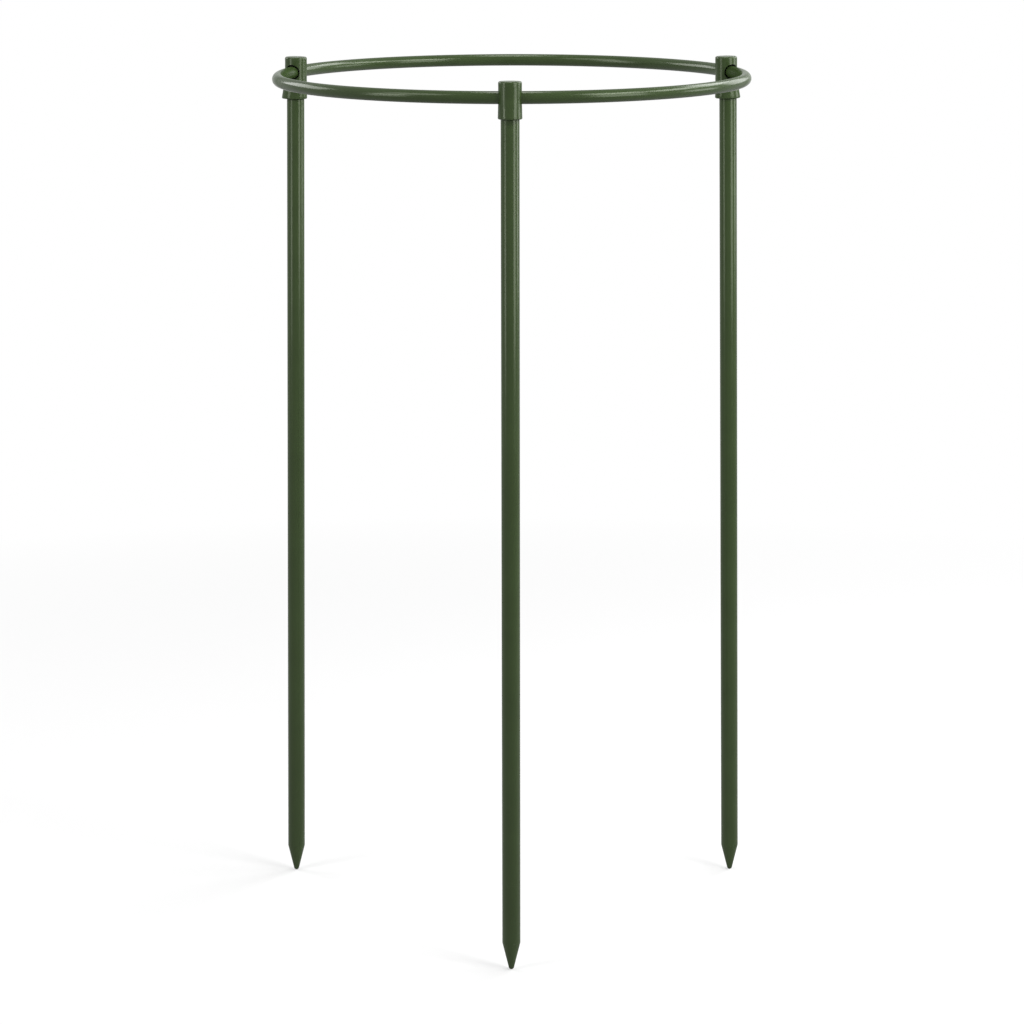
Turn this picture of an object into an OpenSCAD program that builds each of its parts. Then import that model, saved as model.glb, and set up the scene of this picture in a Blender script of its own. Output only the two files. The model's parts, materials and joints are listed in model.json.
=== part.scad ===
// Plant support: a coated ring held up by stakes with moulded connectors
// Millimetres, +Z up; the origin is on the ground in the middle of the part's box

/* [Ring] */
// Radius of the ring's centre line
ring_r = 144.3; // [100:0.1:220]
// Diameter of the ring over its coat
ring_d = 7.6; // [6.4:0.1:10]
// Thickness of the ring's plastic coat
ring_coat = 1.2; // [0.6:0.1:1.5]
// Wall of the steel tube inside the ring
ring_wall = 0.8; // [0.5:0.1:1]
// Gap where the two ends of the ring meet
ring_seam = 0.2; // [0.1:0.05:0.6]
// Length of the dowel that joins the two ends of the ring
dowel_len = 40; // [20:1:80]

/* [Bush] */
// Wall of the rubber bush between the ring and the front connector
front_bush_wall = 0.3; // [0.3:0.1:1.6]
// Wall of the rubber bush between the ring and a rear connector
rear_bush_wall = 0.8; // [0.3:0.1:1.6]
// Distance of the bush's ends inside the barrel at the sides of the cross hole
bush_inset = 0.6; // [0.05:0.05:1]
// Height of the rib round the middle of the bush
rib_h = 0.5; // [0.3:0.1:0.8]
// Width of that rib
rib_w = 2; // [1:0.1:3]

/* [Connector] */
// Thinnest wall of a barrel beside its cross hole
barrel_wall = 1; // [1:0.1:4]
// Distance of the front connector's body outwards of its stake
front_shift = 1.2; // [0:0.1:1.6]
// Distance of the left connector's body inwards of its stake
left_shift = 0.2; // [0:0.1:1.6]
// Distance of the right connector's body inwards of its stake
right_shift = 1.2; // [0:0.1:1.6]
// Thickness of the barrel above the wider cross hole
crown = 4.8; // [2:0.1:10]
// Rounding of the barrel's top rim
rim_round = 1; // [0.4:0.1:2]
// Thickness of the roof between that hole and the stake's socket
roof = 1.8; // [1.2:0.1:5]
// Length of bare tube end that the front collar takes
front_socket = 5.8; // [4:0.1:25]
// Length of bare tube end that a rear collar takes
rear_socket = 10.3; // [4:0.1:25]
// Wall of the collar round the tube end
collar_wall = 2.3; // [2:0.1:4]
// Outward slope of the collar's outer side in degrees
slope_deg = 6.6; // [0:0.1:15]
// Rounding of the collar's lower edge
collar_round = 0.7; // [0.2:0.1:0.8]
// Length of the spigot inside the stake
spigot_len = 30; // [12:1:80]
// Chamfer on the ends of the spigot and the plug
lead_in = 0.8; // [0.2:0.1:1.5]

/* [Stake] */
// Length of a stake from the top of its tube to its tip
stake_len = 520; // [250:5:1200]
// Diameter of a stake over its coat
stake_d = 11; // [9:0.1:16]
// Thickness of the stake's plastic coat
stake_coat = 0.8; // [0.4:0.1:1.2]
// Wall of the steel tube inside the stake
tube_wall = 0.6; // [0.3:0.1:1]
// Length of the point below the straight part
point_len = 17; // [10:0.5:40]
// Radius of the blunt tip
tip_r = 1.7; // [0.5:0.1:3]
// Length of the point's plug inside the tube
plug_len = 25; // [10:1:80]

/* [Stance] */
// Outward lean of the stakes in degrees
lean_deg = 0.8; // [0:0.1:8]
// Place of the front leg round the ring in degrees from +X
front_deg = -90; // [-110:1:-70]
// Place of the right leg round the ring in degrees from +X
right_deg = 19.1; // [0:0.1:40]
// Place of the left leg round the ring in degrees from +X
left_deg = 161.6; // [140:0.1:180]

/* [Fits] */
// Radial clearance where pieces turn or slide on each other
run_gap = 0.05; // [0.02:0.01:0.1]
// Clearance between pieces that are pressed or moulded together
bond_gap = 0.02; // [0.01:0.01:0.05]
// Radial clearance of the tube end in the collar
socket_gap = 0.15; // [0.1:0.05:0.4]
// Clearance at the ends of the rib, the tube and the stake's coat
end_gap = 0.15; // [0.1:0.05:0.4]

/* [Hidden] */
$fn = 96;
hull_fn = 40;
arc_steps = 8;
skin = 0.01;

coat_green = [0.23, 0.29, 0.17];
moulded_green = [0.21, 0.27, 0.16];
steel_grey = [0.62, 0.63, 0.64];
rubber_black = [0.05, 0.05, 0.05];

core_r = ring_d / 2 - ring_coat;
core_bore_r = core_r - ring_wall;
seam_deg = ring_seam / ring_r * 180 / PI;
dowel_deg = dowel_len / ring_r * 180 / PI;

bush_bore_r = ring_d / 2 + run_gap;
groove_w = rib_w + 2 * end_gap;
wide_hole_r = bush_bore_r + max(front_bush_wall, rear_bush_wall) + run_gap;

tube_r = stake_d / 2 - stake_coat;
tube_bore_r = tube_r - tube_wall;

barrel_top = wide_hole_r + crown;
socket_r = tube_r + socket_gap;
socket_top = wide_hole_r + roof;
collar_r = socket_r + collar_wall;

// Each leg's place round the ring, wall of its bush, depth of its socket and outward shift of its connector
front_leg = [front_deg, front_bush_wall, front_socket, front_shift];
left_leg = [left_deg, rear_bush_wall, rear_socket, -left_shift];
right_leg = [right_deg, rear_bush_wall, rear_socket, -right_shift];

function place(leg) = leg[0];
function bush_r(leg) = bush_bore_r + leg[1];
function hole_r(leg) = bush_r(leg) + run_gap;
function rib_r(leg) = bush_r(leg) + rib_h;
function collar_drop(leg) = socket_top + leg[2];
function shift(leg) = leg[3];
function thin_side(leg) = hole_r(leg) + abs(shift(leg));

barrel_r = max([for (leg = [front_leg, left_leg, right_leg]) thin_side(leg)]) + barrel_wall;

function bush_len(leg) = 2 * (sqrt(barrel_r * barrel_r - thin_side(leg) * thin_side(leg)) - bush_inset);
function coat_top(leg) = collar_drop(leg) + end_gap;

stake_top = socket_top + end_gap;
leg_len = stake_top + stake_len;
shoulder = leg_len - point_len;
tip_centre = leg_len - tip_r;
ring_z = tip_centre * cos(lean_deg) + tip_r;

// The front stake's foot reaches further from the ring's middle than the ring's back does
front_reach = ring_r + shoulder * sin(lean_deg) + stake_d / 2 * cos(lean_deg);
back_reach = ring_r + ring_d / 2;
ring_y = (front_reach - back_reach) / 2;
ring_middle = [0, ring_y, ring_z];

// Half angle of the cone that runs from the shoulder to touch the blunt tip
tip_rise = point_len - tip_r;
cone_half = atan(stake_d / 2 / tip_rise) - asin(tip_r / sqrt(stake_d * stake_d / 4 + tip_rise * tip_rise));

// Puts children at a leg's place, with x pointing outwards and z up along the stake
module at_leg(leg) {
    translate(ring_middle) rotate([0, 0, place(leg)]) translate([ring_r, 0, 0]) rotate([0, -lean_deg, 0])
        children();
}

// A run of the ring's wire from one angle to another
module ring_run(from, to, outer_r, inner_r = 0) {
    translate(ring_middle) rotate([0, 0, from]) rotate_extrude(angle = to - from)
        translate([ring_r, 0]) difference() {
            circle(r = outer_r);
            if (inner_r > 0) circle(r = inner_r);
        }
}

// A bar along the ring's tangent at a leg
module cross_bar(r, len) {
    rotate([90, 0, 0]) cylinder(r = r, h = len, center = true);
}

// A pipe or bar down the stake between two depths below the ring
module down_bar(r, top, bottom) {
    translate([0, 0, -bottom]) cylinder(r = r, h = bottom - top);
}

module ring_core() {
    color(steel_grey)
        ring_run(front_deg + seam_deg / 2, front_deg + 360 - seam_deg / 2, core_r, core_bore_r);
}

module ring_sleeve() {
    color(coat_green)
        ring_run(front_deg + seam_deg / 2, front_deg + 360 - seam_deg / 2, ring_d / 2, core_r + bond_gap);
}

module ring_dowel() {
    color(steel_grey)
        ring_run(front_deg - dowel_deg / 2, front_deg + dowel_deg / 2, core_bore_r - bond_gap);
}

module bush(leg) {
    reach_deg = bush_len(leg) / ring_r * 180 / PI;
    color(rubber_black) difference() {
        at_leg(leg) {
            cross_bar(bush_r(leg), bush_len(leg));
            cross_bar(rib_r(leg), rib_w);
        }
        ring_run(place(leg) - reach_deg, place(leg) + reach_deg, bush_bore_r);
    }
}

// Barrel above the ring's centre line, with its rounded rim
module barrel() {
    rotate_extrude() polygon(concat(
        [[0, 0], [barrel_r, 0]],
        [for (i = [0 : arc_steps]) [
            barrel_r - rim_round * (1 - cos(90 * i / arc_steps)),
            barrel_top - rim_round * (1 - sin(90 * i / arc_steps))
        ]],
        [[0, barrel_top]]
    ));
}

// Collar below the ring's centre line, sloping outwards from the barrel to its rounded lower edge
module collar(drop) {
    hull() {
        translate([0, 0, -skin]) cylinder(r = barrel_r, h = skin, $fn = hull_fn);
        for (out = [0, drop * tan(slope_deg)]) translate([out, 0, -drop]) {
            cylinder(r = collar_r - collar_round, h = skin, $fn = hull_fn);
            translate([0, 0, collar_round * (1 - cos(45))])
                cylinder(r = collar_r - collar_round * (1 - sin(45)), h = skin, $fn = hull_fn);
            translate([0, 0, collar_round]) cylinder(r = collar_r, h = skin, $fn = hull_fn);
        }
    }
}

// Round bar between two depths, chamfered at the end that goes in first
module plug_down(r, top, bottom) {
    down_bar(r, top, bottom - lead_in);
    translate([0, 0, -bottom]) cylinder(r1 = r - lead_in, r2 = r, h = lead_in);
}

module connector(leg) {
    color(moulded_green) at_leg(leg) {
        difference() {
            translate([shift(leg), 0, 0]) {
                barrel();
                collar(collar_drop(leg));
            }
            cross_bar(hole_r(leg), 2 * (barrel_r + collar_r));
            cross_bar(rib_r(leg) + run_gap, groove_w);
            down_bar(socket_r, socket_top, collar_drop(leg) + skin);
        }
        plug_down(tube_bore_r - run_gap, socket_top - skin, socket_top + spigot_len);
    }
}

module stake_tube(leg) {
    color(steel_grey) at_leg(leg) difference() {
        down_bar(tube_r, stake_top, shoulder);
        down_bar(tube_bore_r, stake_top - skin, shoulder + skin);
    }
}

module stake_sleeve(leg) {
    color(coat_green) at_leg(leg) difference() {
        down_bar(stake_d / 2, coat_top(leg), shoulder);
        down_bar(tube_r + bond_gap, coat_top(leg) - skin, shoulder + skin);
    }
}

module stake_point(leg) {
    plug_r = tube_bore_r - bond_gap;
    color(moulded_green) at_leg(leg) rotate_extrude() polygon(concat(
        [
            [0, plug_len - shoulder],
            [plug_r - lead_in, plug_len - shoulder],
            [plug_r, plug_len - lead_in - shoulder],
            [plug_r, -shoulder],
            [stake_d / 2, -shoulder]
        ],
        [for (i = [0 : arc_steps]) let (turn = cone_half + (90 - cone_half) * i / arc_steps)
            [tip_r * cos(turn), -tip_centre - tip_r * sin(turn)]
        ]
    ));
}

ring_core();
ring_sleeve();
ring_dowel();

bush(front_leg);  // front_bush
connector(front_leg);  // front_connector
stake_tube(front_leg);  // front_tube
stake_sleeve(front_leg);  // front_sleeve
stake_point(front_leg);  // front_point

bush(left_leg);  // left_bush
connector(left_leg);  // left_connector
stake_tube(left_leg);  // left_tube
stake_sleeve(left_leg);  // left_sleeve
stake_point(left_leg);  // left_point

bush(right_leg);  // right_bush
connector(right_leg);  // right_connector
stake_tube(right_leg);  // right_tube
stake_sleeve(right_leg);  // right_sleeve
stake_point(right_leg);  // right_point
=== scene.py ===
import json
import math

import bmesh
import bpy
from mathutils import Matrix, Quaternion, Vector


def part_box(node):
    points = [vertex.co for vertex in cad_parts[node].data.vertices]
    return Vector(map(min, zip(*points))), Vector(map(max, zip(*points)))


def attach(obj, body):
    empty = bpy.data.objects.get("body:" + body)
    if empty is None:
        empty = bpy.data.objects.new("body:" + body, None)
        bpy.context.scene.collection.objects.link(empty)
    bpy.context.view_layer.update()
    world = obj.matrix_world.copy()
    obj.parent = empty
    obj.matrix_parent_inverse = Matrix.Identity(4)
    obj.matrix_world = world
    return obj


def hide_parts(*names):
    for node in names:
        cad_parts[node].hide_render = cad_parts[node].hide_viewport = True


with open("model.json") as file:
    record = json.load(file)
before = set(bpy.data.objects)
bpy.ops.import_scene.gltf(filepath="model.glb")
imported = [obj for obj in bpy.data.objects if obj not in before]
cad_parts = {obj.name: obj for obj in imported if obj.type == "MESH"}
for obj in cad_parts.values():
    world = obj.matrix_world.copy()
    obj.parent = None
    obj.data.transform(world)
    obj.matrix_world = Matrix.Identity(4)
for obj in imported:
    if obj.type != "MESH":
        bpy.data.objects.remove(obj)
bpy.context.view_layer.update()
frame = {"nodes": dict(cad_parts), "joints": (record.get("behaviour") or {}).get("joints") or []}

scene = bpy.context.scene
scene.view_settings.view_transform = "Standard"
joints = {joint["name"]: joint for joint in frame["joints"]}
legNames = ("front", "left", "right")


# Places and sizes that come from the frame

def legMatrix(leg):  # x outwards, y along the ring, z up the stake
    up = -Vector(joints[leg + "_pull"]["axis"]).normalized()
    along = -Vector(joints[leg + "_swing"]["axis"]).normalized()
    matrix = Matrix((along.cross(up), along, up)).transposed().to_4x4()
    matrix.translation = Vector(joints[leg + "_swing"]["pos_m"])
    return matrix


def legBox(leg, part):  # corners of a leg's node in that leg's own axes
    inverse = legMatrix(leg).inverted()
    points = [inverse @ vertex.co for vertex in frame["nodes"][f"{leg}_{part}"].data.vertices]
    return Vector(map(min, zip(*points))), Vector(map(max, zip(*points)))


ringLow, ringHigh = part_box("ring_sleeve")
wireRadius = (ringHigh.z - ringLow.z) / 2
ringRadius = (ringHigh.x - ringLow.x) / 2 - wireRadius
ringCentre = Vector(joints["front_orbit"]["pos_m"])


# Node helpers

def addNode(tree, kind, inputs=None, **settings):
    node = tree.nodes.new(kind)
    for key, value in settings.items():
        setattr(node, key, value)
    for key, value in (inputs or {}).items():
        if isinstance(value, bpy.types.NodeSocket):
            tree.links.new(value, node.inputs[key])
        else:
            node.inputs[key].default_value = value
    return node


def calc(tree, operation, *values, clamp=False):
    inputs = dict(enumerate(values))
    return addNode(tree, "ShaderNodeMath", inputs, operation=operation, use_clamp=clamp).outputs[0]


def remap(tree, value, fromLow, fromHigh, toLow, toHigh):
    inputs = {"Value": value, "From Min": fromLow, "From Max": fromHigh, "To Min": toLow, "To Max": toHigh}
    return addNode(tree, "ShaderNodeMapRange", inputs).outputs["Result"]


def mixColour(tree, factor, first, second, blend="MIX"):
    inputs = {0: factor, 6: first, 7: second}  # 6 and 7, and 2 below, are the node's colour sockets
    return addNode(tree, "ShaderNodeMix", inputs, data_type="RGBA", blend_type=blend).outputs[2]


def noise(tree, vector, scale, detail, roughness=0.55):
    inputs = {"Vector": vector, "Scale": scale, "Detail": detail, "Roughness": roughness}
    return addNode(tree, "ShaderNodeTexNoise", inputs).outputs["Fac"]


def newGroup(name, inputs, outputs):
    tree = bpy.data.node_groups.new(name, "ShaderNodeTree")
    for label, kind in inputs:
        tree.interface.new_socket(name=label, in_out="INPUT", socket_type=kind)
    for label in outputs:
        tree.interface.new_socket(name=label, in_out="OUTPUT", socket_type="NodeSocketFloat")
    return tree, tree.nodes.new("NodeGroupInput").outputs, tree.nodes.new("NodeGroupOutput").inputs


def placeGroup(tree, group, inputs):
    return addNode(tree, "ShaderNodeGroup", inputs, node_tree=group).outputs[0]


# Surface effects shared by the finishes

streakLines = {"detail": 3.0, "roughness": 0.6, "reach": (0.3, 0.7)}


def buildStreaks():  # fine lines left along a coat or a tube by the die it came through
    inputs = [("Coord", "NodeSocketVector"), ("Across", "NodeSocketFloat"), ("Along", "NodeSocketFloat")]
    tree, given, out = newGroup("dieStreaks", inputs, ["Streaks"])
    across, along = given["Across"], given["Along"]
    stretch = addNode(tree, "ShaderNodeCombineXYZ", {0: across, 1: across, 2: along}).outputs[0]
    scaled = addNode(tree, "ShaderNodeVectorMath", {0: given["Coord"], 1: stretch}, operation="MULTIPLY")
    fine = noise(tree, scaled.outputs[0], 1.0, streakLines["detail"], streakLines["roughness"])
    tree.links.new(remap(tree, fine, *streakLines["reach"], 0.0, 1.0), out["Streaks"])
    return tree


mottle = {"detail": 2.0, "reach": (0.32, 0.68)}


def buildMottle():  # slow cloudy change of tone
    inputs = [("Coord", "NodeSocketVector"), ("Scale", "NodeSocketFloat")]
    tree, given, out = newGroup("cloudyTone", inputs, ["Tone"])
    clouds = noise(tree, given["Coord"], given["Scale"], mottle["detail"])
    tree.links.new(remap(tree, clouds, *mottle["reach"], 0.0, 1.0), out["Tone"])
    return tree


pitting = {"detail": 4.0, "roughness": 0.7}


def buildGrain():  # fine pitting of moulded plastic and rubber
    inputs = [("Coord", "NodeSocketVector"), ("Scale", "NodeSocketFloat")]
    tree, given, out = newGroup("fineGrain", inputs, ["Height"])
    pits = noise(tree, given["Coord"], given["Scale"], pitting["detail"], pitting["roughness"])
    tree.links.new(pits, out["Height"])
    return tree


scuffs = {
    "detail": 1.5,
    "roughness": 0.5,
    "level": 0.5,  # the rubs follow this contour of the noise
    "lineWidth": 0.02,
    "patchScale": 0.17,  # of the scale of the rubs
    "patchDetail": 2.0,
    "patchFull": 0.85,
}


def buildScuffs():  # thin short rubs from handling, in a few patches
    inputs = [("Coord", "NodeSocketVector"), ("Scale", "NodeSocketFloat"), ("Cover", "NodeSocketFloat")]
    tree, given, out = newGroup("handlingRubs", inputs, ["Rubs"])
    lines = noise(tree, given["Coord"], given["Scale"], scuffs["detail"], scuffs["roughness"])
    ridge = calc(tree, "ABSOLUTE", calc(tree, "SUBTRACT", lines, scuffs["level"]))
    thin = remap(tree, ridge, 0.0, scuffs["lineWidth"], 1.0, 0.0)
    wide = calc(tree, "MULTIPLY", given["Scale"], scuffs["patchScale"])
    patches = noise(tree, given["Coord"], wide, scuffs["patchDetail"])
    edge = calc(tree, "SUBTRACT", 1.0, given["Cover"])
    chosen = remap(tree, patches, edge, scuffs["patchFull"], 0.0, 1.0)
    tree.links.new(calc(tree, "MULTIPLY", thin, chosen, clamp=True), out["Rubs"])
    return tree


dieStreaks = buildStreaks()
cloudyTone = buildMottle()
fineGrain = buildGrain()
handlingRubs = buildScuffs()


# Finishes

def newMaterial(name):
    material = bpy.data.materials.new(name)
    material.use_nodes = True
    tree = material.node_tree
    return material, tree, tree.nodes["Principled BSDF"].inputs


def grainCoord(tree):
    return addNode(tree, "ShaderNodeAttribute", attribute_name="grainCoord").outputs["Vector"]


def bump(tree, height, strength, depth):
    inputs = {"Height": height, "Strength": strength, "Distance": depth}
    return addNode(tree, "ShaderNodeBump", inputs).outputs[0]


def softGloss(tree, finish):  # specular level that dies away where the surface turns from the eye
    facing = addNode(tree, "ShaderNodeLayerWeight").outputs["Facing"]
    return remap(tree, facing, *finish["edgeReach"], finish["glossLevel"], finish["edgeGloss"])


greenPlastic = {  # what the coats and the mouldings share
    "deep": (0.029, 0.051, 0.014, 1),
    "pale": (0.034, 0.059, 0.017, 1),
    "rubTone": (0.085, 0.125, 0.060, 1),
    "glossTint": (0.92, 1.0, 0.80, 1),
    "glossLevel": 0.28,
    "edgeReach": (0.30, 0.80),  # how far the surface has turned where the gloss starts to fade, and ends
    "edgeGloss": 0.012,
}

coatFinish = {
    **greenPlastic,
    "streakTone": (0.026, 0.047, 0.012, 1),
    "streakShare": 0.35,
    "rubShare": 0.22,
    "cloudScale": 38.0,
    "across": 900.0,
    "along": 9.0,
    "rubScale": 260.0,
    "rubCover": 0.42,
    "smooth": 0.17,
    "dull": 0.21,
    "streakDull": 0.5,
    "cloudDull": 0.5,
    "rubDull": 0.12,
    "bumpStrength": 0.05,
    "bumpDepth": 0.00003,
}


def makeCoatGreen():
    finish = coatFinish
    material, tree, shader = newMaterial("coatGreen")
    coord = grainCoord(tree)
    streaks = placeGroup(tree, dieStreaks,
                         {"Coord": coord, "Across": finish["across"], "Along": finish["along"]})
    cloud = placeGroup(tree, cloudyTone, {"Coord": coord, "Scale": finish["cloudScale"]})
    rubs = placeGroup(tree, handlingRubs,
                      {"Coord": coord, "Scale": finish["rubScale"], "Cover": finish["rubCover"]})
    base = mixColour(tree, cloud, finish["deep"], finish["pale"])
    drawn = calc(tree, "MULTIPLY", streaks, finish["streakShare"])
    lined = mixColour(tree, drawn, base, finish["streakTone"])
    worn = mixColour(tree, calc(tree, "MULTIPLY", rubs, finish["rubShare"]), lined, finish["rubTone"])
    tree.links.new(worn, shader["Base Color"])
    uneven = calc(tree, "ADD", calc(tree, "MULTIPLY", streaks, finish["streakDull"]),
                  calc(tree, "MULTIPLY", cloud, finish["cloudDull"]))
    rough = remap(tree, uneven, 0.0, 1.0, finish["smooth"], finish["dull"])
    rubbed = calc(tree, "MULTIPLY", rubs, finish["rubDull"])
    tree.links.new(calc(tree, "ADD", rough, rubbed), shader["Roughness"])
    tree.links.new(bump(tree, streaks, finish["bumpStrength"], finish["bumpDepth"]), shader["Normal"])
    shader["Specular Tint"].default_value = finish["glossTint"]
    tree.links.new(softGloss(tree, finish), shader["Specular IOR Level"])
    return material


mouldedFinish = {
    **greenPlastic,
    "rubShare": 0.2,
    "cloudScale": 110.0,
    "grainScale": 2600.0,
    "grainReach": (0.3, 0.7),
    "rubScale": 420.0,
    "rubCover": 0.4,
    "paintedHoleShade": (0.005, 0.006, 0.005, 1),  # painted shade: near-black colour on the cross hole's bore and lip, standing in for the shadow inside the hole
    "boreRough": 0.35,
    "smooth": 0.18,
    "dull": 0.23,
    "rubDull": 0.1,
    "bumpStrength": 0.12,
    "bumpDepth": 0.00004,
}


def makeMouldedGreen():
    finish = mouldedFinish
    material, tree, shader = newMaterial("mouldedGreen")
    coord = grainCoord(tree)
    cloud = placeGroup(tree, cloudyTone, {"Coord": coord, "Scale": finish["cloudScale"]})
    grain = placeGroup(tree, fineGrain, {"Coord": coord, "Scale": finish["grainScale"]})
    rubs = placeGroup(tree, handlingRubs,
                      {"Coord": coord, "Scale": finish["rubScale"], "Cover": finish["rubCover"]})
    base = mixColour(tree, cloud, finish["deep"], finish["pale"])
    worn = mixColour(tree, calc(tree, "MULTIPLY", rubs, finish["rubShare"]), base, finish["rubTone"])
    # painted shade: this mask darkens the cross hole's bore and lip towards near black, in place of the
    # shadow inside the hole
    bore = addNode(tree, "ShaderNodeAttribute", attribute_name="paintedBoreShade").outputs["Fac"]
    tree.links.new(mixColour(tree, bore, worn, finish["paintedHoleShade"]), shader["Base Color"])
    rough = remap(tree, grain, *finish["grainReach"], finish["smooth"], finish["dull"])
    marked = calc(tree, "ADD", calc(tree, "MULTIPLY", rubs, finish["rubDull"]),
                  calc(tree, "MULTIPLY", bore, finish["boreRough"]))
    tree.links.new(calc(tree, "ADD", rough, marked), shader["Roughness"])
    tree.links.new(bump(tree, grain, finish["bumpStrength"], finish["bumpDepth"]), shader["Normal"])
    shader["Specular Tint"].default_value = finish["glossTint"]
    tree.links.new(softGloss(tree, finish), shader["Specular IOR Level"])
    return material


steelFinish = {
    "bright": (0.60, 0.61, 0.62, 1),
    "dull": (0.40, 0.40, 0.40, 1),
    "oxide": (0.30, 0.25, 0.20, 1),
    "oxideShare": 0.3,
    "across": 2400.0,
    "along": 30.0,
    "cloudScale": 90.0,
    "smooth": 0.24,
    "rough": 0.44,
    "bumpStrength": 0.3,
    "bumpDepth": 0.00002,
}


def makeDrawnSteel():
    finish = steelFinish
    material, tree, shader = newMaterial("drawnSteel")
    coord = addNode(tree, "ShaderNodeTexCoord").outputs["Object"]
    streaks = placeGroup(tree, dieStreaks,
                         {"Coord": coord, "Across": finish["across"], "Along": finish["along"]})
    cloud = placeGroup(tree, cloudyTone, {"Coord": coord, "Scale": finish["cloudScale"]})
    drawn = mixColour(tree, streaks, finish["bright"], finish["dull"])
    aged = mixColour(tree, calc(tree, "MULTIPLY", cloud, finish["oxideShare"]), drawn, finish["oxide"])
    tree.links.new(aged, shader["Base Color"])
    tree.links.new(remap(tree, streaks, 0.0, 1.0, finish["smooth"], finish["rough"]), shader["Roughness"])
    tree.links.new(bump(tree, streaks, finish["bumpStrength"], finish["bumpDepth"]), shader["Normal"])
    shader["Metallic"].default_value = 1.0
    return material


rubberFinish = {
    "black": (0.006, 0.006, 0.006, 1),
    "dusty": (0.018, 0.018, 0.017, 1),
    "cloudScale": 240.0,
    "grainScale": 3800.0,
    "grainReach": (0.3, 0.7),
    "smooth": 0.62,
    "dull": 0.85,
    "glossLevel": 0.3,
    "bumpStrength": 0.35,
    "bumpDepth": 0.00004,
}


def makeBlackRubber():
    finish = rubberFinish
    material, tree, shader = newMaterial("blackRubber")
    coord = grainCoord(tree)
    cloud = placeGroup(tree, cloudyTone, {"Coord": coord, "Scale": finish["cloudScale"]})
    grain = placeGroup(tree, fineGrain, {"Coord": coord, "Scale": finish["grainScale"]})
    tree.links.new(mixColour(tree, cloud, finish["black"], finish["dusty"]), shader["Base Color"])
    rough = remap(tree, grain, *finish["grainReach"], finish["smooth"], finish["dull"])
    tree.links.new(rough, shader["Roughness"])
    tree.links.new(bump(tree, grain, finish["bumpStrength"], finish["bumpDepth"]), shader["Normal"])
    shader["Specular IOR Level"].default_value = finish["glossLevel"]
    return material


coatGreen = makeCoatGreen()
mouldedGreen = makeMouldedGreen()
drawnSteel = makeDrawnSteel()
blackRubber = makeBlackRubber()
print("finishes made:", [material.name for material in bpy.data.materials if material.use_nodes])


# Mesh helpers

roundSteps = 4


def roundedOutline(corners):  # corners are (radius, height, rounding) round a closed section
    points = []
    for index, (radius, height, rounding) in enumerate(corners):
        here = Vector((radius, height))
        if rounding == 0:
            points.append(here)
            continue
        back = (Vector(corners[index - 1][:2]) - here).normalized()
        ahead = (Vector(corners[(index + 1) % len(corners)][:2]) - here).normalized()
        half = back.angle(ahead) / 2
        centre = here + (back + ahead).normalized() * rounding / math.sin(half)
        first = here + back * rounding / math.tan(half) - centre
        last = here + ahead * rounding / math.tan(half) - centre
        sweep = math.pi - 2 * half
        for step in range(roundSteps + 1):
            turn = sweep * step / roundSteps
            points.append(centre + (first * math.sin(sweep - turn) + last * math.sin(turn)) / math.sin(sweep))
    return points


def circle(mesh, radius, height, sides):
    if radius == 0:
        return [mesh.verts.new((0, 0, height))]
    turns = [2 * math.pi * side / sides for side in range(sides)]
    return [mesh.verts.new((radius * math.cos(turn), radius * math.sin(turn), height)) for turn in turns]


def bridge(mesh, first, second):  # faces between two rings of points; a ring may be a single point
    count = max(len(first), len(second))
    for index in range(count):
        after = (index + 1) % count
        corners = [first[index % len(first)], first[after % len(first)],
                   second[after % len(second)], second[index % len(second)]]
        mesh.faces.new(list(dict.fromkeys(corners)))


def turned(outline, sides, closed=True):  # a section of (radius, height) points turned about z
    mesh = bmesh.new()
    rings = [circle(mesh, radius, height, sides) for radius, height in outline]
    for first, second in zip(rings, rings[1:] + (rings[:1] if closed else [])):
        bridge(mesh, first, second)
    return mesh


sharpAngle = math.radians(38)
mergeDistance = 1e-6


def tidyMesh(mesh):
    bmesh.ops.remove_doubles(mesh, verts=mesh.verts, dist=mergeDistance)
    bmesh.ops.recalc_face_normals(mesh, faces=mesh.faces)
    for face in mesh.faces:
        face.smooth = True
    for edge in mesh.edges:
        edge.smooth = len(edge.link_faces) == 2 and edge.calc_face_angle() < sharpAngle


def addPiece(name, mesh, material, body, nodes, matrix=Matrix(), grainShift=0.0):
    tidyMesh(mesh)
    grain = mesh.verts.layers.float_vector.new("grainCoord")
    for vertex in mesh.verts:
        vertex[grain] = vertex.co + Vector((grainShift, 0, 0))
    mesh.transform(matrix)
    data = bpy.data.meshes.new(name)
    mesh.to_mesh(data)
    mesh.free()
    return settle(bpy.data.objects.new(name, data), material, body, nodes)


def settle(piece, material, body, nodes):
    if not piece.data.materials:
        piece.data.materials.append(material)
    if piece.name not in scene.collection.objects:
        scene.collection.objects.link(piece)
    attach(piece, body)
    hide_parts(*nodes)
    return piece


# Ring: the coat is swept along an arc that ends at a fine seam

ringCoat = {
    "seam": 0.0002,
    "bore": 0.00262,
    "stepsAlong": 300,
    "stepsAround": 40,
}


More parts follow.
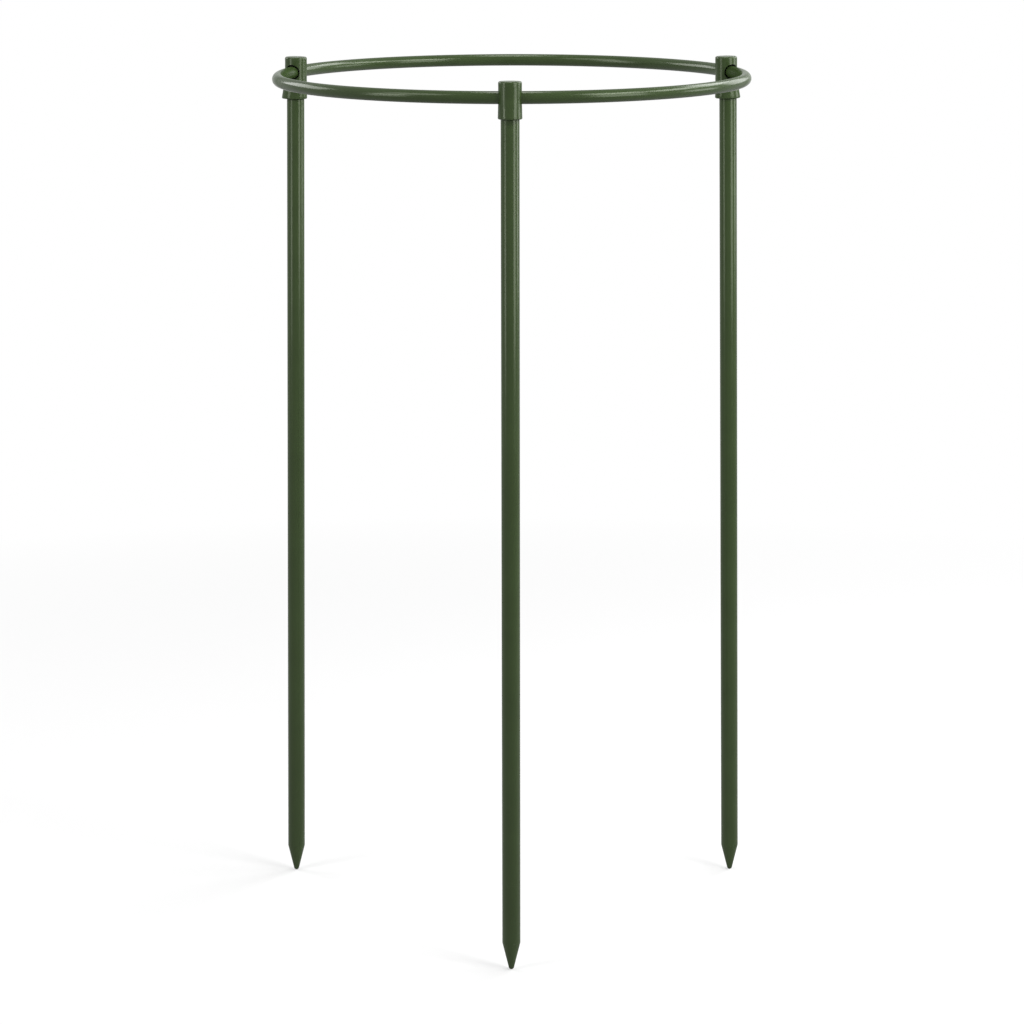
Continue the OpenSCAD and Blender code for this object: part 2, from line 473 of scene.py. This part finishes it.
def buildSweptCoat():
    tree = bpy.data.node_groups.new("sweptCoat", "GeometryNodeTree")
    kinds = {
        "Ring Radius": "Float", "Coat Radius": "Float", "Bore Radius": "Float", "Seam": "Float",
        "Steps Along": "Int", "Steps Around": "Int", "Centre": "Vector", "Finish": "Material",
    }
    sizes = {}
    for label, kind in kinds.items():
        sizes[label] = tree.interface.new_socket(name=label, in_out="INPUT", socket_type="NodeSocket" + kind)
    tree.interface.new_socket(name="Geometry", in_out="OUTPUT", socket_type="NodeSocketGeometry")
    given = tree.nodes.new("NodeGroupInput").outputs
    out = tree.nodes.new("NodeGroupOutput").inputs

    seamAngle = calc(tree, "DIVIDE", given["Seam"], given["Ring Radius"])
    start = calc(tree, "SUBTRACT", calc(tree, "DIVIDE", seamAngle, 2.0), math.pi / 2)
    sweep = calc(tree, "SUBTRACT", 2 * math.pi, seamAngle)
    arc = addNode(tree, "GeometryNodeCurveArc", {
        "Resolution": given["Steps Along"], "Radius": given["Ring Radius"],
        "Start Angle": start, "Sweep Angle": sweep,
    }, mode="RADIUS")
    length = addNode(tree, "GeometryNodeSplineParameter").outputs["Length"]
    path = addNode(tree, "GeometryNodeCaptureAttribute", {0: arc.outputs["Curve"]})
    path.capture_items.new("FLOAT", "Along")
    tree.links.new(length, path.inputs[1])
    along = path.outputs[1]

    def tube(radius):
        section = addNode(tree, "GeometryNodeCurvePrimitiveCircle",
                          {"Resolution": given["Steps Around"], "Radius": radius})
        return addNode(tree, "GeometryNodeCurveToMesh",
                       {"Curve": path.outputs[0], "Profile Curve": section.outputs["Curve"]}).outputs["Mesh"]

    outer = tube(given["Coat Radius"])
    inner = addNode(tree, "GeometryNodeFlipFaces", {"Mesh": tube(given["Bore Radius"])}).outputs["Mesh"]

    # The open rims, where an edge has one face, are drawn in to the bore: the coat's wall at the seam
    faceCount = addNode(tree, "GeometryNodeInputMeshEdgeNeighbors").outputs["Face Count"]
    isRim = addNode(tree, "FunctionNodeCompare", {2: faceCount, 3: 1}, data_type="INT", operation="EQUAL")
    wall = addNode(tree, "GeometryNodeExtrudeMesh",
                   {"Mesh": outer, "Selection": isRim.outputs["Result"], "Offset Scale": 0.0}, mode="EDGES")
    position = addNode(tree, "GeometryNodeInputPosition").outputs[0]
    flat = addNode(tree, "ShaderNodeVectorMath", {0: position, 1: (1, 1, 0)}, operation="MULTIPLY").outputs[0]
    outwards = addNode(tree, "ShaderNodeVectorMath", {0: flat}, operation="NORMALIZE").outputs[0]
    middle = addNode(tree, "ShaderNodeVectorMath",
                     {0: outwards, "Scale": given["Ring Radius"]}, operation="SCALE").outputs[0]
    reach = addNode(tree, "ShaderNodeVectorMath", {0: position, 1: middle}, operation="SUBTRACT").outputs[0]
    share = calc(tree, "DIVIDE", given["Bore Radius"], given["Coat Radius"])
    drawn = addNode(tree, "ShaderNodeVectorMath", {0: reach, "Scale": share}, operation="SCALE").outputs[0]
    target = addNode(tree, "ShaderNodeVectorMath", {0: middle, 1: drawn}, operation="ADD").outputs[0]
    walled = addNode(tree, "GeometryNodeSetPosition",
                     {"Geometry": wall.outputs["Mesh"], "Selection": wall.outputs["Top"], "Position": target})

    joined = addNode(tree, "GeometryNodeJoinGeometry", {0: walled.outputs[0]})
    tree.links.new(inner, joined.inputs[0])
    merged = addNode(tree, "GeometryNodeMergeByDistance",
                     {"Geometry": joined.outputs[0], "Distance": mergeDistance})

    # The grain runs along the wire: across the section in x and y, along the arc in z
    radial = calc(tree, "SUBTRACT",
                  addNode(tree, "ShaderNodeVectorMath", {0: flat}, operation="LENGTH").outputs["Value"],
                  given["Ring Radius"])
    height = addNode(tree, "ShaderNodeSeparateXYZ", {0: position}).outputs["Z"]
    grain = addNode(tree, "ShaderNodeCombineXYZ", {0: radial, 1: height, 2: along}).outputs[0]
    marked = addNode(tree, "GeometryNodeStoreNamedAttribute", {
        "Geometry": merged.outputs[0], "Name": "grainCoord", "Value": grain,
    }, data_type="FLOAT_VECTOR", domain="POINT")
    placed = addNode(tree, "GeometryNodeTransform",
                     {"Geometry": marked.outputs[0], "Translation": given["Centre"]})
    real = addNode(tree, "GeometryNodeRealizeInstances", {0: placed.outputs[0]})
    finished = addNode(tree, "GeometryNodeSetMaterial",
                       {"Geometry": real.outputs[0], "Material": given["Finish"]})
    tree.links.new(finished.outputs[0], out["Geometry"])
    return tree, {label: socket.identifier for label, socket in sizes.items()}


def makeRingCoat():
    tree, socket = buildSweptCoat()
    piece = bpy.data.objects.new("ringCoat", bpy.data.meshes.new("ringCoatSeed"))
    scene.collection.objects.link(piece)
    modifier = piece.modifiers.new("sweptCoat", "NODES")
    modifier.node_group = tree
    modifier[socket["Ring Radius"]] = ringRadius
    modifier[socket["Coat Radius"]] = wireRadius
    modifier[socket["Bore Radius"]] = ringCoat["bore"]
    modifier[socket["Seam"]] = ringCoat["seam"]
    modifier[socket["Steps Along"]] = ringCoat["stepsAlong"]
    modifier[socket["Steps Around"]] = ringCoat["stepsAround"]
    modifier[socket["Centre"]] = ringCentre
    modifier[socket["Finish"]] = coatGreen
    graph = bpy.context.evaluated_depsgraph_get()
    data = bpy.data.meshes.new_from_object(piece.evaluated_get(graph),
                                           preserve_all_data_layers=True, depsgraph=graph)
    piece.modifiers.clear()
    mesh = bmesh.new()
    mesh.from_mesh(data)
    tidyMesh(mesh)
    mesh.to_mesh(data)
    mesh.free()
    data.name = "ringCoat"
    piece.data = data
    return settle(piece, coatGreen, "ring", ["ring_sleeve"])


ringPiece = makeRingCoat()
for hiddenNode in ("ring_core", "ring_dowel"):
    steelNode = frame["nodes"][hiddenNode].data
    steelNode.materials.clear()
    steelNode.materials.append(drawnSteel)
print("ring made:", len(ringPiece.data.polygons), "faces")


# Stakes: a coated tube with a moulded point

stake = {
    "sides": 96,
    "bondGap": 0.00002,
    "edgeRound": 0.00012,
    "topRound": 0.0003,
    "tubeWall": 0.0006,
    "tubeRound": 0.00012,
}


def makeStakeCoat(leg, grainShift):
    low, high = legBox(leg, "sleeve")
    bore = legBox(leg, "tube")[1].x + stake["bondGap"]
    outline = roundedOutline([
        (bore, low.z, 0), (high.x, low.z, stake["edgeRound"]),
        (high.x, high.z, stake["topRound"]), (bore, high.z, 0),
    ])
    return addPiece(leg + "StakeCoat", turned(outline, stake["sides"]), coatGreen,
                    leg + "_leg", [leg + "_sleeve"], legMatrix(leg), grainShift)


def makeStakeTube(leg, grainShift):
    low, high = legBox(leg, "tube")
    bore = high.x - stake["tubeWall"]
    outline = roundedOutline([
        (bore, low.z, stake["tubeRound"]), (high.x, low.z, stake["tubeRound"]),
        (high.x, high.z, stake["tubeRound"]), (bore, high.z, stake["tubeRound"]),
    ])
    return addPiece(leg + "StakeTube", turned(outline, stake["sides"]), drawnSteel,
                    leg + "_leg", [leg + "_tube"], legMatrix(leg), grainShift)


point = {
    "tipRadius": 0.0017,
    "tipSteps": 12,
    "plugLead": 0.0008,
}


def makePoint(leg, grainShift):
    low, high = legBox(leg, "point")
    shoulder = legBox(leg, "sleeve")[0].z
    plugRadius = legBox(leg, "tube")[1].x - stake["tubeWall"] - stake["bondGap"]
    rise = shoulder - low.z - point["tipRadius"]
    reach = math.hypot(high.x, rise)
    slope = math.atan2(high.x, rise) - math.asin(point["tipRadius"] / reach)
    tipCentre = low.z + point["tipRadius"]
    cone = [(point["tipRadius"] * math.cos(slope), tipCentre - point["tipRadius"] * math.sin(slope), 0)]
    body = roundedOutline([
        (0, high.z, 0), (plugRadius - point["plugLead"], high.z, 0),
        (plugRadius, high.z - point["plugLead"], 0), (plugRadius, shoulder, 0),
        (high.x, shoulder, stake["edgeRound"]), *cone,
    ])
    turns = [slope + (math.pi / 2 - slope) * step / point["tipSteps"] for step in range(1, point["tipSteps"])]
    tip = [Vector((math.cos(turn), -math.sin(turn))) * point["tipRadius"] + Vector((0, tipCentre))
           for turn in turns]
    outline = body + tip + [Vector((0, low.z))]
    mesh = turned(outline, stake["sides"], closed=False)
    return addPiece(leg + "Point", mesh, mouldedGreen,
                    leg + "_leg", [leg + "_point"], legMatrix(leg), grainShift)


# Bushes: rubber sleeves on the ring, straight outside and bent with the wire inside

bush = {
    "runGap": 0.00005,
    "ribHeight": 0.0005,
    "ribWidth": 0.002,
    "edgeShare": 0.3,  # rounding of the edges as a share of the wall
    "boreSteps": 8,
    "sides": 72,
}


def bushRadius(leg):
    return legBox(leg, "bush")[1].z - bush["ribHeight"]


def makeBush(leg, grainShift):
    high = legBox(leg, "bush")[1]
    half, rib, ribHalf = high.y, high.z, bush["ribWidth"] / 2
    bore, radius = wireRadius + bush["runGap"], bushRadius(leg)
    edge = bush["edgeShare"] * (radius - bore)
    outline = roundedOutline([
        (bore, -half, edge), (radius, -half, edge), (radius, -ribHalf, 0), (rib, -ribHalf, edge),
        (rib, ribHalf, edge), (radius, ribHalf, 0), (radius, half, edge), (bore, half, edge),
    ])
    outline += [Vector((bore, half - edge - 2 * (half - edge) * step / bush["boreSteps"]))
                for step in range(1, bush["boreSteps"])]
    mesh = turned(outline, bush["sides"])
    for vertex in mesh.verts:
        across, away, along = vertex.co
        if math.hypot(across, away) < bore + bush["runGap"]:
            across += math.sqrt(ringRadius ** 2 - along ** 2) - ringRadius
        vertex.co = Vector((across, along, -away))
    return addPiece(leg + "Bush", mesh, blackRubber,
                    leg + "_slider", [leg + "_bush"], legMatrix(leg), grainShift)


# Connectors: a barrel with a cross hole for the ring, and a collar that flares outwards over the stake

connector = {
    "barrelRadius": 0.0069,
    "rimRound": 0.0010,
    "collarRound": 0.0007,
    "collarGap": 0.00015,  # between the collar and the coat below it
    "tubeGap": 0.00015,
    "socketLead": 0.0002,
    "holeRound": 0.00015,
    "runGap": 0.00005,
    "endGap": 0.00015,
    "spigotLead": 0.0008,
    "flareEase": 1.4,  # above 1 the flare starts gently at the ring
    "holeBand": 0.0066,  # half height of the belt that holds the cross hole
    "sides": 96,
    "holeRows": 32,
    "holeRings": 8,
    "ringEase": 1.4,  # above 1 the rings of points crowd towards the hole
    "arcSteps": 6,
}


def connectorSizes(leg):
    low, high = legBox(leg, "connector")
    tubeHigh = legBox(leg, "tube")[1]
    collarRadius = high.y
    shift = collarRadius + low.x  # the body stands this far outwards of its stake
    return {
        **connector,
        "top": high.z,
        "collarRadius": collarRadius,
        "shift": shift,
        "flare": high.x - collarRadius - shift,
        "bottom": legBox(leg, "sleeve")[1].z + connector["collarGap"],
        "holeRadius": bushRadius(leg) + bush["runGap"],
        "grooveRadius": legBox(leg, "bush")[1].z + connector["runGap"],
        "grooveHalf": bush["ribWidth"] / 2 + connector["endGap"],
        "socketRadius": tubeHigh.x + connector["tubeGap"],
        "socketTop": tubeHigh.z + connector["endGap"],
        "spigotRadius": tubeHigh.x - stake["tubeWall"] - connector["runGap"],
        "spigotEnd": low.z,
    }


def connectorWall(size, turn, height, inset=0.0):  # outer wall: round above, drawn outwards below the ring
    share = max(0.0, min(1.0, height / (size["bottom"] + size["collarRound"]))) ** size["flareEase"]
    radius = size["barrelRadius"] + (size["collarRadius"] - size["barrelRadius"]) * share - inset
    lean = size["flare"] * share / 2
    return Vector((size["shift"] + lean + (radius + lean) * math.cos(turn), radius * math.sin(turn), height))


def holeTurn(size, across, height):  # where on the wall a point of the cross hole's edge lies
    side = connectorWall(size, 0.0, height).x
    other = connectorWall(size, math.pi, height).x
    return math.acos((2 * across - side - other) / (side - other))


def holePatch(mesh, size, side):  # one side's belt: rings of points from the belt's edge into the cross hole
    half, rows, band = size["sides"] // 2, size["holeRows"], size["holeBand"]
    quarter = math.pi / 2
    edge = [(math.pi * i / half, band, quarter * (0.5 + i / half)) for i in range(half)]
    edge += [(math.pi, band - 2 * band * i / rows, quarter * (1.5 + i / rows)) for i in range(rows)]
    edge += [(math.pi - math.pi * i / half, -band, quarter * (2.5 + i / half)) for i in range(half)]
    edge += [(0.0, 2 * band * i / rows - band, quarter * (3.5 + i / rows)) for i in range(rows)]
    rings = [[] for _ in range(size["holeRings"] + 1 + size["arcSteps"])]
    soft = size["holeRound"]
    shade = mesh.verts.layers.float["paintedBoreShade"]
    for turn, height, angle in edge:
        startAcross = (size["holeRadius"] + soft) * math.cos(angle)
        startHeight = (size["holeRadius"] + soft) * math.sin(angle)
        startTurn = holeTurn(size, startAcross, startHeight)
        for ring in range(size["holeRings"] + 1):
            share = (1 - ring / size["holeRings"]) ** size["ringEase"]
            spot = connectorWall(size, startTurn + (turn - startTurn) * share,
                                 startHeight + (height - startHeight) * share)
            rings[ring].append(mesh.verts.new((spot.x, side * spot.y, spot.z)))
        lip = abs(rings[size["holeRings"]][-1].co.y)
        for step in range(1, size["arcSteps"] + 1):
            bend = math.pi / 2 * step / size["arcSteps"]
            radius = size["holeRadius"] + soft * (1 - math.sin(bend))
            depth = lip - soft * (1 - math.cos(bend))
            inner = mesh.verts.new((radius * math.cos(angle), side * depth, radius * math.sin(angle)))
            # painted shade: points on the hole's rounded lip are marked for the near-black painted shadow
            inner[shade] = 1.0
            rings[size["holeRings"] + step].append(inner)
    for first, second in zip(rings, rings[1:]):
        bridge(mesh, first, second)
    return rings[-1], [angle for _, _, angle in edge]


def makeConnector(leg, grainShift):
    size = connectorSizes(leg)
    mesh = bmesh.new()
    # mask for the painted shade inside the cross hole
    shade = mesh.verts.layers.float.new("paintedBoreShade")
    turns = [2 * math.pi * side / size["sides"] for side in range(size["sides"])]
    quarter = [math.pi / 2 * step / size["arcSteps"] for step in range(size["arcSteps"] + 1)]
    collarTop = size["bottom"] + size["collarRound"]

    def wallRing(height, inset=0.0):
        return [mesh.verts.new(connectorWall(size, turn, height, inset)) for turn in turns]

    def chain(rings):
        for first, second in zip(rings, rings[1:]):
            bridge(mesh, first, second)

    # Top face, rounded rim and the barrel above the cross hole
    rim = size["rimRound"]
    middle = mesh.verts.new((size["shift"], 0, size["top"]))
    upper = [[middle], wallRing(size["top"], size["barrelRadius"] / 2)]
    upper += [wallRing(size["top"] - rim * (1 - math.cos(bend)), rim * (1 - math.sin(bend)))
              for bend in quarter]
    upper += [wallRing(size["holeBand"])]
    chain(upper)

    # Cross hole with the groove that holds the bush's rib
    near, angles = holePatch(mesh, size, 1)
    far, _ = holePatch(mesh, size, -1)
    groove = [(size["holeRadius"], size["grooveHalf"]), (size["grooveRadius"], size["grooveHalf"]),
              (size["grooveRadius"], -size["grooveHalf"]), (size["holeRadius"], -size["grooveHalf"])]
    bore = [[mesh.verts.new((radius * math.cos(angle), along, radius * math.sin(angle))) for angle in angles]
            for radius, along in groove]
    # painted shade: the bore and the groove are marked for the near-black painted shadow
    for vertex in sum(bore, []):
        vertex[shade] = 1.0
    chain([near, *bore, far])

    # Collar, its rounded lower edge, the socket for the tube and the spigot inside it
    drop = collarTop + size["holeBand"]
    lower = [wallRing(-size["holeBand"] + drop * step / size["arcSteps"]) for step in range(size["arcSteps"])]
    soft = size["collarRound"]
    for bend in quarter:
        ring = wallRing(collarTop, soft * (1 - math.cos(bend)))
        for vertex in ring:
            vertex.co.z -= soft * math.sin(bend)
        lower.append(ring)
    lead = size["socketLead"]
    inside = [
        (size["socketRadius"] + lead, size["bottom"]), (size["socketRadius"], size["bottom"] + lead),
        (size["socketRadius"], size["socketTop"]), (size["spigotRadius"], size["socketTop"]),
        (size["spigotRadius"], size["spigotEnd"] + size["spigotLead"]),
        (size["spigotRadius"] - size["spigotLead"], size["spigotEnd"]), (0, size["spigotEnd"]),
    ]
    lower += [circle(mesh, radius, height, size["sides"]) for radius, height in inside]
    chain(lower)
    return addPiece(leg + "Connector", mesh, mouldedGreen,
                    leg + "_head", [leg + "_connector"], legMatrix(leg), grainShift)


grainStep = 0.37  # keeps the three legs from showing the same marks
for index, leg in enumerate(legNames):
    grainShift = grainStep * (index + 1)
    for make in (makeStakeCoat, makeStakeTube, makePoint, makeBush, makeConnector):
        made = make(leg, grainShift)
        print("made", made.name, len(made.data.polygons), "faces")


# Stage: white floor and background, softboxes and the camera

stage = {
    "floorSize": 14.0,
    "paperTone": (0.76, 0.76, 0.76, 1),  # the floor as the camera and the gloss see it
    "whiteNear": 0.40,  # share of plain white by the feet; the rest keeps the shadow
    "nearReach": 0.30,  # the shadow starts to fade to plain white this far from the middle
    "farReach": 1.20,  # and is gone here
    "bounceTone": (0.24, 0.24, 0.24, 1),  # the floor as it throws light back on the object
    "fill": 0.05,  # plain light from all round
}
plainWhite = (1, 1, 1, 1)


def seenRays(tree):  # rays that show the white stage: the camera's, and those in gloss and through glass
    ray = addNode(tree, "ShaderNodeLightPath").outputs
    mirrored = calc(tree, "MAXIMUM", ray["Is Glossy Ray"], ray["Is Transmission Ray"])
    return calc(tree, "MAXIMUM", ray["Is Camera Ray"], mirrored)


def makeFloor():
    half = stage["floorSize"] / 2
    data = bpy.data.meshes.new("studioFloor")
    corners = [(-half, -half, 0), (half, -half, 0), (half, half, 0), (-half, half, 0)]
    data.from_pydata(corners, [], [(0, 1, 2, 3)])
    floor = bpy.data.objects.new("studioFloor", data)
    scene.collection.objects.link(floor)
    material = bpy.data.materials.new("floorWhite")
    material.use_nodes = True
    tree = material.node_tree
    tree.nodes.clear()
    place = addNode(tree, "ShaderNodeTexCoord").outputs["Object"]
    away = addNode(tree, "ShaderNodeVectorMath", {0: place}, operation="LENGTH").outputs["Value"]
    white = remap(tree, away, stage["nearReach"], stage["farReach"], stage["whiteNear"], 1.0)
    seen = seenRays(tree)
    tone = mixColour(tree, seen, stage["bounceTone"], stage["paperTone"])
    paper = addNode(tree, "ShaderNodeBsdfDiffuse", {"Color": tone}).outputs[0]
    glow = addNode(tree, "ShaderNodeEmission").outputs[0]
    shown = addNode(tree, "ShaderNodeMixShader", {0: calc(tree, "MULTIPLY", white, seen), 1: paper, 2: glow})
    addNode(tree, "ShaderNodeOutputMaterial", {"Surface": shown.outputs[0]})
    data.materials.append(material)


def makeWorld():
    world = bpy.data.worlds.new("studioWhite")
    scene.world = world
    world.use_nodes = True
    tree = world.node_tree
    tree.nodes.clear()
    seen = seenRays(tree)
    fill = addNode(tree, "ShaderNodeBackground", {"Color": plainWhite, "Strength": stage["fill"]}).outputs[0]
    white = addNode(tree, "ShaderNodeBackground", {"Color": plainWhite, "Strength": 1.0}).outputs[0]
    shown = addNode(tree, "ShaderNodeMixShader", {0: seen, 1: fill, 2: white})
    addNode(tree, "ShaderNodeOutputWorld", {"Surface": shown.outputs[0]})


# Azimuth is from the camera's side, positive to the right; angles and spans in degrees
softboxes = {
    "leftLow": {"azimuth": -59, "elevation": 2, "span": (18, 14), "glow": 4.5},
    "leftStrip": {"azimuth": -58, "elevation": 20, "span": (18, 14), "glow": 8.0},
    "leftHigh": {"azimuth": -51, "elevation": 42, "span": (34, 22), "glow": 4.2},
    "leftBack": {"azimuth": -119, "elevation": 23, "span": (40, 22), "glow": 6.0},
    "rightLow": {"azimuth": 51, "elevation": 11, "span": (26, 30), "glow": 5.5},
    "rightHigh": {"azimuth": 54, "elevation": 40, "span": (31, 19), "glow": 11.0},
    "rightSide": {"azimuth": 91, "elevation": 38, "span": (34, 14), "glow": 10.0},
    "rightBack": {"azimuth": 131, "elevation": 37, "span": (36, 16), "glow": 8.5},
    "rightStrip": {"azimuth": 98, "elevation": 6, "span": (22, 17), "glow": 5.0},
    "rightEdge": {"azimuth": 140, "elevation": 18, "span": (31, 19), "glow": 4.0},
    "overhead": {"azimuth": 180, "elevation": 83, "span": (94, 20), "glow": 10.0},
}
lightAim = (0, 0, 0.40)
lightDistance = 1.5


def makeSoftboxes():
    for name, box in softboxes.items():
        turn, rise = math.radians(box["azimuth"]), math.radians(box["elevation"])
        away = Vector((math.sin(turn) * math.cos(rise), -math.cos(turn) * math.cos(rise), math.sin(rise)))
        wide, tall = (lightDistance * math.radians(span) for span in box["span"])
        data = bpy.data.lights.new(name, "AREA")
        data.shape = "RECTANGLE"
        data.size, data.size_y = wide * math.cos(rise), tall
        data.energy = box["glow"] * math.pi * data.size * data.size_y
        lamp = bpy.data.objects.new(name, data)
        lamp.location = Vector(lightAim) + away * lightDistance
        lamp.rotation_euler = (-away).to_track_quat("-Z", "Y").to_euler()
        lamp.visible_camera = False
        scene.collection.objects.link(lamp)


camera = {  # lens in millimetres, lengths in metres, angles in degrees
    "lens": 122.45,
    "aim": (-0.00023, 0.0, 0.252802),
    "distance": 2.207501,
    "pitch": 11.7105,
    "yaw": -0.4009,
    "roll": -0.0914,
    "clipEnd": 40.0,
}


def makeCamera():
    pitch, yaw = math.radians(camera["pitch"]), math.radians(camera["yaw"])
    ahead = Vector((math.sin(yaw) * math.cos(pitch), math.cos(yaw) * math.cos(pitch), -math.sin(pitch)))
    data = bpy.data.cameras.new("photoCamera")
    data.lens = camera["lens"]
    data.clip_end = camera["clipEnd"]
    eye = bpy.data.objects.new("photoCamera", data)
    eye.rotation_mode = "QUATERNION"
    roll = Quaternion((0, 0, 1), math.radians(camera["roll"]))
    eye.rotation_quaternion = ahead.to_track_quat("-Z", "Y") @ roll
    eye.location = Vector(camera["aim"]) - ahead * camera["distance"]
    scene.collection.objects.link(eye)
    scene.camera = eye


makeFloor()
makeWorld()
makeSoftboxes()
makeCamera()
print("stage set:", len(softboxes), "softboxes")
